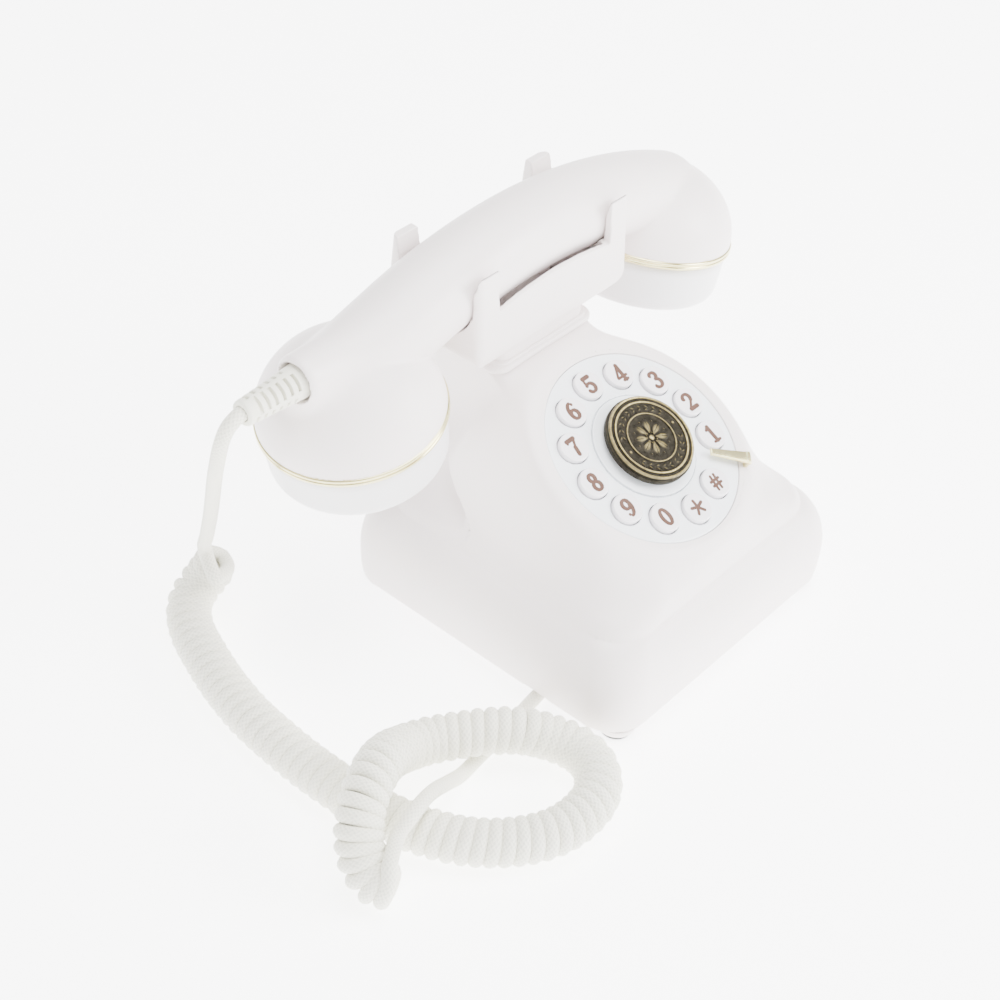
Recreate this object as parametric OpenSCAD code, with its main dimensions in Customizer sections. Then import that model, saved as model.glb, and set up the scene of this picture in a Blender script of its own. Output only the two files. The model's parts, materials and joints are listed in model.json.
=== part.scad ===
// Cradle desk telephone with a push-button dial, a lift-off handset and a curly cord.
// Frame: +X to the user's right, +Y to the back, +Z up. The origin is on the table,
// under the middle of the telephone without its cord. Millimetres.

/* [Base] */
// Half the width and depth of the square base at its widest level
base_half = 63.2; // [62:0.2:66]
// Middle of the base, forward of the origin because the handset overhangs the back
base_y = -7.2; // [-8:0.2:-6]
// Height of the underside above the table
underside_z = 5.5; // [5:0.5:7]
// Height of the soft edge between the base and the tower
tier_z = 37.5; // [36:0.5:39]
// Wall thickness of the housing
wall = 2.6; // [2:0.2:3]

/* [Dial] */
// Height of the dial centre at the level of the key tops
dial_z = 72; // [71:0.5:73]
// Dial centre, front to back
dial_y = -24.2; // [-25:0.2:-24]
// Tilt of the dial from the horizontal
dial_tilt = 27.1; // [26:0.1:28]
// Radius of the glossy dial plate
plate_r = 36.5; // [36:0.1:37]
// Radius of the circle of keys
key_circle_r = 27.6; // [27.4:0.1:27.8]
// Radius of one key cap
key_r = 5.4; // [5.2:0.05:5.8]
// Angle from one key to the next
key_pitch = 29.05; // [29:0.05:29.2]
// Angle of key 1, clockwise of the right-hand side
first_key_angle = -22.5; // [-24:0.5:-21]
// Radius of the medallion at the dial centre
medallion_r = 15.9; // [15.6:0.1:16.4]

/* [Cradle] */
// Middle of the cradle, front to back
cradle_y = 40; // [39.5:0.5:40.5]
// Half the width of the neck
neck_half_x = 22.5; // [22:0.5:24]
// Half the depth of the neck
neck_half_y = 17.4; // [17:0.2:18]
// Height where the cradle stands on the neck
neck_z = 88.5; // [88:0.5:90]
// Height of the prong tips
prong_top_z = 133.6; // [132:0.2:135]

/* [Handset] */
// Middle of the handset, front to back
handset_y = 38.8; // [38.6:0.1:39.2]
// Height of the handle's centre line at the middle
handle_z = 125.4; // [125:0.2:126]
// Radius of the arched centre line of the handle
handle_arc_r = 200; // [190:5:210]
// Half the width and half the height of the handle
handle_half = [15.6, 14]; // [13:0.2:16]
// Distance of each cup's centre from the middle
cup_x = 76.9; // [76:0.1:78]
// Height of the gold ring's centre
cup_z = 93.7; // [93:0.1:95]
// Radius of the cups at the gold ring
cup_r = 31.3; // [31:0.1:31.6]
// Lean of each cup's axis away from the middle
cup_lean = 11.8; // [11:0.1:13]

/* [Cord] */
// Outer diameter of the curly part
coil_d = 16; // [15:0.5:16]
// Diameter of the braided lead
lead_d = 5; // [4.6:0.2:5]

/* [Hidden] */
$fn = 48;
eps = 0.01;
key_gap = 0.1;
seat_gap = 0.05;

// Colours of the materials
warm_white = [0.93, 0.91, 0.91];
cool_white = [0.95, 0.96, 0.98];
gold = [0.85, 0.70, 0.32];
bronze = [0.36, 0.32, 0.22];
ivory = [0.91, 0.91, 0.85];
steel = [0.7, 0.71, 0.73];
board_green = [0.12, 0.36, 0.2];
black = [0.08, 0.08, 0.08];

// Housing sections from the bottom up: height, half width, front y, rear y, corner radius.
// Above the tier the front follows the sloping dial and the flanks sweep in to the neck.
dial_back = 6;
function slope_y(z) = dial_y + ((z - dial_z) * cos(dial_tilt) + dial_back) / sin(dial_tilt);
function slab(z, inset, corner) =
    [z, base_half - inset, base_y - base_half + inset, base_y + base_half - inset, corner];
function flank(z) = neck_half_x + 2 + 28 * pow((neck_z - z) / (neck_z - tier_z), 3);
function rear(z) = cradle_y + neck_half_y + 1 - 11 * (neck_z - z) / (neck_z - tier_z);
housing_sections = concat(
    [slab(underside_z, 0.7, 14.5), slab(8, 0.3, 15), slab(12, 0, 15.5), slab(18, 0, 15.5),
     slab(24, 0.7, 15.5), slab(29, 2.2, 15), slab(33, 4.6, 14), slab(36, 7.4, 13), slab(tier_z, 9.2, 12)],
    [for (z = [39, 42, 46, 50]) [z, flank(z), max(base_y - base_half + 10, slope_y(z)), rear(z), 12]],
    [for (z = [55, 60, 66, 73, 80]) [z, flank(z), slope_y(z), rear(z), 10]],
    [[neck_z, neck_half_x + 2, cradle_y - neck_half_y - 1, cradle_y + neck_half_y + 1, 6]]);

// Points of a rounded rectangle at one height, moved inwards by t
function section_points(s, t, steps = 5) =
    let (hx = s[1] - t, y0 = s[2] + t, y1 = s[3] - t, r = max(min(s[4] - t, (y1 - y0) / 2 - 1), 2))
    [for (c = [0:3], k = [0:steps])
        let (a = 90 * c + 90 * k / steps, cx = (c == 0 || c == 3) ? hx - r : r - hx,
             cy = (c < 2) ? y1 - r : y0 + r)
        [cx + r * cos(a), cy + r * sin(a), s[0]]];

// Closed solid through rings of points that all have the same count
module loft(rings) {
    n = len(rings[0]);
    m = len(rings);
    points = [for (ring = rings) each ring];
    sides = [for (i = [0:m - 2], j = [0:n - 1]) let (k = (j + 1) % n)
        each [[i * n + j, (i + 1) * n + j, i * n + k], [i * n + k, (i + 1) * n + j, (i + 1) * n + k]]];
    caps = [[for (j = [0:n - 1]) j], [for (j = [n - 1:-1:0]) (m - 1) * n + j]];
    polyhedron(points, concat(sides, caps), convexity = 6);
}

// The dial's own frame: centre at the level of the key tops, +Y up the slope
module on_dial() {
    translate([0, dial_y, dial_z]) rotate([dial_tilt, 0, 0]) children();
}

module key_places() {
    for (i = [0:11]) rotate(first_key_angle + key_pitch * i) translate([key_circle_r, 0, 0]) children();
}

// A block with rounded upright edges, centred on x and y
module rounded_block(size, r) {
    translate([0, 0, -size[2] / 2]) linear_extrude(size[2]) {
        square([size[0] - 2 * r, size[1]], center = true);
        square([size[0], size[1] - 2 * r], center = true);
        for (x = [-1, 1], y = [-1, 1]) translate([x * (size[0] / 2 - r), y * (size[1] / 2 - r)]) circle(r);
    }
}

// --- Housing ---------------------------------------------------------------------------------

neck_hollow = [43, 26];
stop_angle = -39.8;
stop_leg_r = 38.4;
drum_r = 42;
drum_depth = 32;
plate_top = -1.3;
plate_thick = 3.2;
plate_floor = plate_top - plate_thick;
foot_x = 51.6;
foot_y = 54;
boss_places = [[-40, -52], [40, -52], [-40, 38], [40, 38]];
plunger_x = 17;
jack_y = -34;
jack_z = 9.4;

module foot_places() {
    for (x = [-1, 1], y = [-1, 1]) translate([x * foot_x, base_y + y * foot_y, 0]) children();
}

module body_shell() color(warm_white) difference() {
    union() {
        loft([for (s = housing_sections) section_points(s, 0)]);
        on_dial() translate([0, 0, -drum_depth - 2]) cylinder(r = drum_r, h = drum_depth, $fn = 72);
    }
    translate([0, 0, -1]) loft([for (s = housing_sections)
        if (s[0] < neck_z - 1) section_points(s, wall)]);
    on_dial() {
        translate([0, 0, -drum_depth + 2]) cylinder(r = drum_r - wall, h = drum_depth - 10, $fn = 72);
        translate([0, 0, plate_floor]) cylinder(r = plate_r + 0.15, h = 10, $fn = 72);
        translate([0, 0, -12]) cylinder(r = plate_r - 2, h = 12, $fn = 72);
    }
    // the open neck, the finger stop's slot, the cord's notch in the rim and the openings at the back
    translate([0, cradle_y, 87]) cube([neck_hollow[0], neck_hollow[1], 18], center = true);
    on_dial() rotate(stop_angle) translate([stop_leg_r, 0, 0]) cube([1.6, 4.6, 16], center = true);
    translate([-base_half - 2, jack_y - 5, 0]) cube([12, 10, 6.1]);
    translate([-15, base_y + base_half - 6, 12]) cube([14, 10, 9]);
    translate([6, base_y + base_half - 6, 12]) cube([12, 10, 6]);
}

module bottom_plate() color(warm_white) difference() {
    union() {
        translate([0, base_y, underside_z + 1.5]) rounded_block([114, 114, 3], 11);
        for (p = boss_places) translate([p[0], p[1], 7]) cylinder(r = 4, h = 10);
    }
    for (p = boss_places) translate([p[0], p[1], 0]) cylinder(r = 1.7, h = 30);
    translate([-58, jack_y - 6, 0]) cube([26, 12, 20]);
    foot_places() translate([0, 0, 4]) cylinder(r = 1.55, h = 8);
    for (i = [-3:3]) translate([i * 6, -5, 0]) rounded_block([2.4, 26, 40], 1.1);
}

module housing_screws() color(steel) for (p = boss_places) translate([p[0], p[1], 0]) {
    translate([0, 0, 5]) cylinder(r = 1.65, h = 13);
    translate([0, 0, 3.8]) cylinder(r = 3, h = 1.6);
}

module foot_stubs() color(warm_white) foot_places() difference() {
    union() {
        translate([0, 0, 2.2]) cylinder(r1 = 6.6, r2 = 7.2, h = underside_z - seat_gap - 2.2);
        translate([0, 0, 5.4]) cylinder(r = 1.5, h = 3);
    }
    translate([0, 0, 1]) cylinder(r = 5.2, h = 2.2);
}

module foot_pads() color(black) foot_places() {
    cylinder(r1 = 5.4, r2 = 5.6, h = 2.15);
    translate([0, 0, 2]) cylinder(r = 5.15, h = 1.15);
}

// The bead around the neck, standing on the housing's rim, and the cradle stands on it
module neck_moulding() color(warm_white) difference() {
    union() {
        translate([0, cradle_y, neck_z + 1.3])
            rounded_block([2 * neck_half_x + 7, 2 * neck_half_y + 4.6, 2.5], 6);
        translate([0, cradle_y, neck_z + 2.9])
            rounded_block([2 * neck_half_x + 4, 2 * neck_half_y + 2.4, 0.8], 5);
    }
    translate([0, cradle_y, neck_z]) cube([neck_hollow[0], neck_hollow[1], 20], center = true);
}

// --- Cradle ----------------------------------------------------------------------------------

prong_inner_x = 28.5;
prong_outer_x = 38.9;
saddle_gap = 0.6;
// The mouth's half width at the handle's middle, and points of its side: height, extra half width
mouth_half = handle_half[0] + saddle_gap;
mouth = [[-7.5, 0], [2, 0], [12, 2.2]];

// An outline and its mirror image, joined where both meet the middle
function both_sides(p) = concat(p, [for (i = [len(p) - 2:-1:1]) [-p[i][0], p[i][1]]]);

// Front outline of the cradle's right half: the neck, the rounded flare, the prong and the sill
cradle_z = neck_z + 3.4;
flare_z = 104.5;
flare_r = 7.5;
sill_z = 118.2;
function cradle_outline() = concat(
    [[0, cradle_z], [neck_half_x, cradle_z]],
    [for (a = [0:22.5:90]) [neck_half_x + 4 - 4 * cos(a), flare_z - 11.5 + 4 * sin(a)]],
    [for (a = [-78:26:0]) [prong_outer_x - flare_r + flare_r * cos(a), flare_z + flare_r * sin(a)]],
    [[prong_outer_x, 119], [prong_outer_x - 0.2, prong_top_z - 2], [prong_outer_x - 1.4, prong_top_z],
     [prong_inner_x + 1.2, prong_top_z], [prong_inner_x, prong_top_z - 2], [prong_inner_x, sill_z + 3.8],
     [14, sill_z + 1], [0, sill_z]]);

// Points of the handle's oval section grown by g, from angle a0 to a1 counted from its side
function oval(g, a0, a1) = [for (k = [0:abs(a1 - a0) / 12]) let (a = a0 + 12 * k * sign(a1 - a0))
    [handle_arc_r + (handle_half[1] + g) * sin(a), (handle_half[0] + g) * cos(a)]];

// An outline of the handle's section turned along the arch, from -angle to angle
module along_handle(outline, angle) {
    translate([0, handset_y, handle_z - handle_arc_r]) rotate([90, 0, 0]) rotate([0, 0, 90 - angle])
        rotate_extrude(angle = 2 * angle, $fn = 240) polygon(outline);
}

module cradle() color(warm_white) difference() {
    intersection() {
        translate([0, cradle_y + 30, 0]) rotate([90, 0, 0]) linear_extrude(60)
            polygon(both_sides(cradle_outline()));
        translate([-50, cradle_y, 0]) rotate([90, 0, 90]) linear_extrude(100)
            polygon([[-neck_half_y, neck_z], [-neck_half_y, 97], [-20.8, 100], [-21.6, flare_z],
                     [-19.4, prong_top_z + 1], [19.8, prong_top_z + 1], [21.6, flare_z], [20.8, 100],
                     [neck_half_y, 97], [neck_half_y, neck_z]]);
    }
    along_handle(oval(saddle_gap, 0, 348), 18);
    // the mouth between the prongs, open upwards so that the handset lifts out
    translate([-50, handset_y, handle_z]) rotate([90, 0, 90]) linear_extrude(100)
        polygon(concat([for (p = mouth) [-mouth_half - p[1], p[0]]],
            [for (i = [2:-1:0]) [mouth_half + mouth[i][1], mouth[i][0]]]));
    for (x = [-1, 1]) translate([x * plunger_x, cradle_y, 80]) cylinder(r = 3.55, h = 60);
    translate([0, cradle_y, cradle_z]) cube([42, neck_hollow[1], 11], center = true);
}

module hook_plungers() color(warm_white) {
    for (x = [-1, 1]) translate([x * plunger_x, cradle_y, 84])
        cylinder(r = 3.5, h = handle_z - handle_half[1] - 1.4 - 84);
    translate([0, cradle_y, 82.5]) rounded_block([2 * plunger_x + 7, 8, 3], 2);
}

module plunger_guide() color(black) difference() {
    translate([0, cradle_y, 76]) rounded_block([42, 22, 3], 3);
    translate([0, cradle_y, 76]) cube([10, 10, 10], center = true);
}

module hook_switch() color(steel) {
    translate([0, cradle_y, 68]) rounded_block([20, 10, 12], 1);
    translate([0, cradle_y, 73.9]) cylinder(r = 2, h = 6.8);
}

// --- Dial ------------------------------------------------------------------------------------

pivot_w = -6;
board_top = -11.6;

module board_places() {
    for (a = [80, 200, 320]) rotate(a) translate([15, 0, 0]) children();
}

lug_x = 6;

module dial_plate() color(cool_white) on_dial() difference() {
    union() {
        translate([0, 0, plate_floor + seat_gap])
            cylinder(r1 = plate_r, r2 = plate_r - 0.6, h = plate_thick - seat_gap, $fn = 96);
        translate([0, 0, plate_top - eps]) cylinder(r = 19.3, h = 0.6, $fn = 72);
        for (x = [-1, 1]) translate([x * lug_x, 0, -6.4]) cube([2, 5, 4.2], center = true);
        board_places() translate([0, 0, board_top]) cylinder(r = 2.2, h = plate_floor - board_top + 0.5);
    }
    board_places() translate([0, 0, board_top - 1]) cylinder(r = 1.2, h = 5);
    translate([0, 0, plate_top + 0.6]) cylinder(r = 40, h = 10);
    key_places() translate([0, 0, -20]) cylinder(r = key_r + key_gap, h = 40);
    translate([0, 0, -20]) cylinder(r = 4.4, h = 40);
    translate([-20, 0, pivot_w]) rotate([0, 90, 0]) cylinder(r = 1, h = 40);
}

module key(i) color(cool_white) on_dial()
    rotate(first_key_angle + key_pitch * i) translate([key_circle_r, 0, 0]) {
        translate([0, 0, plate_floor - 0.6]) cylinder(r = key_r, h = 0.6 - plate_floor - 0.5);
        translate([0, 0, -0.5 - eps]) cylinder(r1 = key_r, r2 = key_r - 0.7, h = 0.5);
        translate([0, 0, plate_floor - 1.5]) cylinder(r = key_r + 0.5, h = 1.2);
        translate([0, 0, plate_floor - 2.6]) cylinder(r = 2.5, h = 1.2);
    }

module medallion() color(bronze) on_dial() difference() {
    union() {
        translate([0, 0, 1.2]) cylinder(r = medallion_r, h = 2.6, $fn = 72);
        translate([0, 0, 0.3]) cylinder(r = medallion_r + 0.5, h = 1.2, $fn = 72);
        translate([0, 0, pivot_w - 2]) cylinder(r = 3.4, h = 9);
    }
    translate([-20, 0, pivot_w]) rotate([0, 90, 0]) cylinder(r = 1.06, h = 40);
}

module rocker_pin() color(steel) on_dial() translate([-lug_x - 1, 0, pivot_w])
    rotate([0, 90, 0]) cylinder(r = 1, h = 2 * lug_x + 2);

module finger_stop() color(gold) on_dial() rotate(stop_angle) {
    translate([0, 0, 0.9]) linear_extrude(1.1)
        polygon([[24, -1.2], [24, 1.2], [35, 1.8], [39.6, 2.3], [39.6, -2.3], [35, -1.8]]);
    translate([stop_leg_r, 0, -7]) linear_extrude(9) square([1.4, 4.4], center = true);
}

module dial_screws() color(steel) on_dial() board_places() {
    translate([0, 0, board_top - 1.8]) cylinder(r = 1.15, h = 5.3);
    translate([0, 0, board_top - 2.8]) cylinder(r = 2.2, h = 1.1);
}

module keypad_mat() color([0.3, 0.32, 0.35]) on_dial() difference() {
    union() {
        translate([0, 0, board_top + 0.1]) cylinder(r = plate_r - 2.4, h = 1.2);
        key_places() translate([0, 0, board_top + 1.2]) cylinder(r1 = 3, r2 = 2.2, h = 1.4);
    }
    translate([0, 0, -20]) cylinder(r = 9, h = 20);
    board_places() translate([0, 0, -20]) cylinder(r = 2.5, h = 20);
}

module keypad_board() color(board_green) on_dial() difference() {
    translate([0, 0, board_top - 1.65]) cylinder(r = plate_r - 2.4, h = 1.6);
    translate([0, 0, -20]) cylinder(r = 9, h = 20);
    board_places() translate([0, 0, -20]) cylinder(r = 1.3, h = 20);
}

// --- Inside the base -------------------------------------------------------------------------

module main_board() color(board_green) translate([14, 0, 20]) rounded_block([54, 64, 1.6], 2);

module ballast_weight() color([0.35, 0.36, 0.38]) translate([26, -34, 13.2]) rounded_block([34, 26, 8], 2);

module ringer() color(black) translate([-24, 10, 9.2]) difference() {
    cylinder(r = 14, h = 7);
    translate([0, 0, -1]) cylinder(r = 3, h = 3);
}

module handset_jack() color(black) difference() {
    translate([-38.5, jack_y, 12]) cube([13, 11.6, 11.6], center = true);
    translate([-46, jack_y - 3.9, jack_z - 3.4]) cube([14, 7.8, 6.8]);
}

module line_jack() color(black) difference() {
    translate([-8, base_y + base_half - 10.6, 16.5]) cube([13.6, 14, 8.6], center = true);
    translate([-8 - 4.9, base_y + base_half - 12, 13.2]) cube([9.8, 20, 6.6]);
}

module ringer_switch() color(black) translate([10, base_y + base_half - 1.2, 15]) {
    cube([5, 3, 4], center = true);
    translate([0, -2.6, 0]) cube([7, 2.4, 5], center = true);
}

// --- Handset ---------------------------------------------------------------------------------

handle_angle = 24;
grip_angle = 13.5;
screw_x = 41;
split_z = handle_z - 3.5;
shell_wall = 2.2;
ring_half = 0.95;

// A cup's own frame: side is -1 at the mouth and 1 at the ear, +Z out of the dome
module on_cup(side) {
    translate([side * cup_x, handset_y, cup_z]) rotate([0, side * cup_lean, 0]) children();
}

function dome_outline(g) = [for (a = [0:9:90]) [(cup_r + g) * cos(a), ring_half + (26 + g) * sin(a)]];

module dome(g = 0) {
    rotate_extrude($fn = 72) polygon(concat([[0, ring_half]], dome_outline(g)));
}

module collar(r, x0) {
    translate([-103, handset_y, 118]) rotate([0, 90, 0]) cylinder(r = r, h = x0 + 103);
}

module handset_upper_shell() color(warm_white) difference() {
    union() {
        difference() {
            union() {
                along_handle(oval(0, 0, 348), handle_angle);
                for (s = [-1, 1]) on_cup(s) dome();
                collar(8.5, -84);
            }
            along_handle(oval(-shell_wall, 0, 348), handle_angle - 1.5);
            along_handle(oval(2, 180, 360), grip_angle + 0.05);
            for (s = [-1, 1]) on_cup(s) translate([0, 0, -eps]) dome(-shell_wall);
        }
        for (s = [-1, 1]) translate([s * screw_x, handset_y, split_z]) cylinder(r = 3.2, h = 11.5);
    }
    for (s = [-1, 1]) translate([s * screw_x, handset_y, split_z - 1]) cylinder(r = 1.35, h = 9);
    collar(6.6, -84);
}

module handset_lower_shell() color(warm_white) difference() {
    along_handle(concat(oval(0, 186, 354), oval(-shell_wall, 354, 186)), grip_angle);
    for (s = [-1, 1]) translate([s * screw_x, handset_y, 100]) rotate(7.5)
        cylinder(r = 2.8, h = 30, $fn = 24);
}

module gold_ring(side) color(gold) on_cup(side) rotate_extrude($fn = 72) {
    translate([cup_r, 0]) circle(r = 0.9, $fn = 24);
    translate([cup_r - 2.4, -0.8]) square([2.4, 1.6]);
}

module mouth_ring() gold_ring(-1);
module ear_ring() gold_ring(1);

cap_depth = 20;
cap_edge = 5;

module cap(side) color(cool_white) on_cup(side) difference() {
    rotate_extrude($fn = 72) polygon(concat([[0, -ring_half], [cup_r - 0.3, -ring_half], [cup_r - 0.8, -8]],
        [for (a = [0:15:90]) [cup_r - 1.5 + cap_edge * (cos(a) - 1), -cap_depth + cap_edge * (1 - sin(a))]],
        [[0, -cap_depth]]));
    translate([0, 0, -cap_depth + 2.4]) cylinder(r = cup_r - 5, h = cap_depth);
    for (r = [5, 10], a = [0:360 / (r * 1.2):359]) rotate(a)
        translate([r, 0, -cap_depth - 1]) cylinder(r = 0.9, h = 5);
}

module mouth_cap() cap(-1);
module ear_cap() cap(1);

module microphone() color(steel) on_cup(-1) translate([0, 0, -cap_depth + 2.6]) cylinder(r = 12, h = 7);

module receiver() color(steel) on_cup(1) translate([0, 0, -cap_depth + 2.6]) {
    cylinder(r = 20, h = 5);
    translate([0, 0, 4.9]) cylinder(r = 10, h = 5);
}

module handset_weight() color(steel) translate([0, handset_y, handle_z]) rounded_block([60, 20, 9], 3);

module handset_screws() color(steel) for (s = [-1, 1]) translate([s * screw_x, handset_y, 0]) {
    translate([0, 0, 109]) cylinder(r = 1.3, h = 20.5);
    translate([0, 0, 108]) cylinder(r = 2.6, h = 1.1);
}

// --- Cord ------------------------------------------------------------------------------------

// Straight lead from the boot down to the top of the curly part
handset_route = [[-124.3, 39, 118], [-127, 39, 117.2], [-129.4, 39.6, 114.6], [-130.6, 41, 109],
    [-129.5, 44.5, 99], [-126.5, 49.5, 88], [-122, 56, 74], [-117, 63.5, 58], [-112.5, 71, 42],
    [-109.5, 76, 31], [-108, 78, 24]];

// Middle line of the curly part, from the lead round the loop to its free end
coil_route = [[-103.5, 76.5, 21], [-106.5, 79, 14.5], [-112, 79.5, 10], [-118, 76, 8.2], [-124.5, 67, 8.2],
    [-129.5, 55, 8.2], [-134.5, 40, 8.2], [-138, 24, 8.2], [-139.5, 8, 8.2], [-140, -6, 8.2],
    [-139.5, -20, 8.2], [-138, -36, 8.2], [-133.5, -51, 8.2], [-127, -63, 8.2], [-118, -72.5, 8.2],
    [-107, -79, 8.2], [-95.5, -81, 8.2], [-84.5, -79, 8.2], [-76.5, -72, 8.2], [-74, -63, 8.2],
    [-77.5, -54, 10], [-84.5, -47, 13.4], [-92.5, -40, 14.2], [-100, -34, 13.8], [-108.5, -28.5, 13.6],
    [-118, -26.5, 16], [-128, -28.5, 22], [-137, -32, 26], [-146, -36, 25.6], [-153.5, -40.5, 21],
    [-158, -46, 14.5], [-159, -52, 10], [-158, -58.5, 8.6]];

// Straight lead from the curly part's free end over and under the loop to the plug
base_route = [[-151.2, -51, 13], [-147, -50.5, 17.5], [-140, -49.5, 20.2], [-132, -47.5, 19.6],
    [-124, -45, 15.6], [-115, -42.5, 9.6], [-106, -40.5, 4.6], [-96, -38.5, 2.7], [-86, -37.5, 2.6],
    [-76, -36.5, 2.6], [-68, -35, 2.6], [-62, -34.2, 2.6], [-57.5, -34, 3.6], [-53.4, -34, 6.6],
    [-49.4, -34, 9.2]];

function direction(p, i) = let (a = p[max(i - 1, 0)], b = p[min(i + 1, len(p) - 1)]) (b - a) / norm(b - a);
function ring_at(p, i, r, n) =
    let (d = direction(p, i), s = norm(cross(d, [0, 0, 1])) > 0.3 ? [0, 0, 1] : [0, 1, 0],
         u = cross(d, s) / norm(cross(d, s)), v = cross(u, d))
    [for (k = [0:n - 1]) p[i] + r * (cos(360 * k / n) * u + sin(360 * k / n) * v)];
module tube(route, r, n) {
    loft([for (i = [0:len(route) - 1]) ring_at(route, i, r, n)]);
}

module cord_boot() color(ivory) difference() {
    translate([-124, handset_y, 118]) rotate([0, 90, 0]) {
        cylinder(r1 = 4.6, r2 = 6.2, h = 22);
        translate([0, 0, 21.9]) cylinder(r = 6.5, h = 8);
    }
    for (i = [0:5], s = [-1, 1]) translate([-121 + 3 * i, handset_y + s * 5.6, 118])
        cube([1.3, 3.6, 20], center = true);
    translate([-125, handset_y, 118]) rotate([0, 90, 0]) cylinder(r = lead_d / 2 + 0.05, h = 40);
}

module cord_handset_lead() color(ivory) tube(handset_route, lead_d / 2, 8);
module curly_cord() color(ivory) tube(coil_route, coil_d / 2, 12);
module cord_base_lead() color(ivory) tube(base_route, lead_d / 2, 8);

module cord_plug() color([0.85, 0.85, 0.82]) {
    translate([-49.2, jack_y - 3.8, jack_z - 3.3]) cube([15, 7.6, 6.6]);
}

body_shell();
bottom_plate();
housing_screws();
foot_stubs();
foot_pads();
neck_moulding();
cradle();
dial_plate();
finger_stop();
dial_screws();
keypad_mat();
keypad_board();
main_board();
handset_jack();
line_jack();
ringer();
ballast_weight();
hook_switch();
plunger_guide();
ringer_switch();
hook_plungers();
medallion();
rocker_pin();
key(0);  // key_1
key(1);  // key_2
key(2);  // key_3
key(3);  // key_4
key(4);  // key_5
key(5);  // key_6
key(6);  // key_7
key(7);  // key_8
key(8);  // key_9
key(9);  // key_0
key(10);  // key_star
key(11);  // key_hash
handset_upper_shell();
handset_lower_shell();
mouth_ring();
ear_ring();
mouth_cap();
ear_cap();
microphone();
receiver();
handset_weight();
handset_screws();
cord_boot();
cord_handset_lead();
curly_cord();
cord_base_lead();
cord_plug();
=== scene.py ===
"""Looks of the cradle desk telephone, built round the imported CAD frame.

Lengths are in millimetres up to the point where a mesh is made, and metres after it.
Solid pieces are described by fields: functions of x, y, z that are negative inside.
"""

import itertools
import json
import math

import bpy
import numpy as np
from mathutils import Matrix, Vector


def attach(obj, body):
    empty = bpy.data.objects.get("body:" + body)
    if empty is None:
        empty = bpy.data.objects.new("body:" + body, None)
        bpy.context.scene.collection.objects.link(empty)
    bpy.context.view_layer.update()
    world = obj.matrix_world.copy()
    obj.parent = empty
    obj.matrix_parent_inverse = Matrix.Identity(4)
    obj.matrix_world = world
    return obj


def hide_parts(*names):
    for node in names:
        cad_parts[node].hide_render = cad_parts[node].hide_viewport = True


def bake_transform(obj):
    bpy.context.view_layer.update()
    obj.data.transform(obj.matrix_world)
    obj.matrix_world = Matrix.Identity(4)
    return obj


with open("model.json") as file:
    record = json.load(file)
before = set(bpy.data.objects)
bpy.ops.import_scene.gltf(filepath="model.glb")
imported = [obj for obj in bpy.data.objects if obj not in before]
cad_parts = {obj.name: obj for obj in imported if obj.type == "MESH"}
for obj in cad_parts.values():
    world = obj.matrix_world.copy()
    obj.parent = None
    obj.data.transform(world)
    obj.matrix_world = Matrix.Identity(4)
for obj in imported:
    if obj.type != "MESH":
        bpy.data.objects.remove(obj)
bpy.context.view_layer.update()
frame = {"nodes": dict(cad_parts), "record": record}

MM = 0.001

# --- Driving sizes, the same as the CAD source's ---

BASE_HALF, BASE_Y, UNDERSIDE_Z, TIER_Z = 63.2, -7.2, 5.5, 37.5
WALL = 2.6
DIAL_Y, DIAL_Z, DIAL_TILT = -24.2, 72.0, math.radians(27.1)
PLATE_R, PLATE_TOP, PLATE_FLOOR = 36.5, -1.3, -4.5
DRUM_R, DISC_R = 42.0, 19.3
KEY_CIRCLE_R, KEY_R = 27.6, 5.4
KEY_PITCH, FIRST_KEY = math.radians(29.05), math.radians(-22.5)
KEY_NAMES = ["1", "2", "3", "4", "5", "6", "7", "8", "9", "0", "star", "hash"]
MEDALLION_R, PIVOT_W = 15.9, -6.0
STOP_ANGLE, STOP_LEG_R = math.radians(-39.8), 38.4
CRADLE_Y, NECK_X, NECK_Y, NECK_Z = 40.0, 22.5, 17.4, 88.5
PRONG_TOP, PRONG_INNER, PRONG_OUTER = 133.6, 28.5, 38.9
SADDLE_GAP, SILL_Z = 0.6, 120.8
NECK_HOLE_X, NECK_HOLE_Y = 21.5, 13
PLUNGER_X = 17.0
HANDSET_Y, HANDLE_Z, HANDLE_ARC = 38.8, 125.4, 200.0
HANDLE_WIDE, HANDLE_HIGH = 15.6, 14.0
CUP_X, CUP_Z, CUP_R, CUP_LEAN, CAP_DEPTH = 76.9, 93.7, 31.3, math.radians(11.8), 20.0
RING_HALF, DOME_HIGH = 0.95, 26.0
BOOT_Z, BOOT_TIP_X, IN_BOOT_X = 118.0, -124.0, -119
COIL_R, LEAD_R = 8.0, 2.5
FOOT_X, FOOT_Y = 51.6, 54.0
JACK_Y = -34.0

# --- Camera ---

CAMERA_TARGET = Vector((-24.6, 16.9, 37.0)) * MM
CAMERA_DISTANCE = 700 * MM
LENS, SENSOR = 72, 36
CAMERA_AZIMUTH, CAMERA_ELEVATION, CAMERA_ROLL = (math.radians(a) for a in (51.45, 40.57, 4.22))


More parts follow.
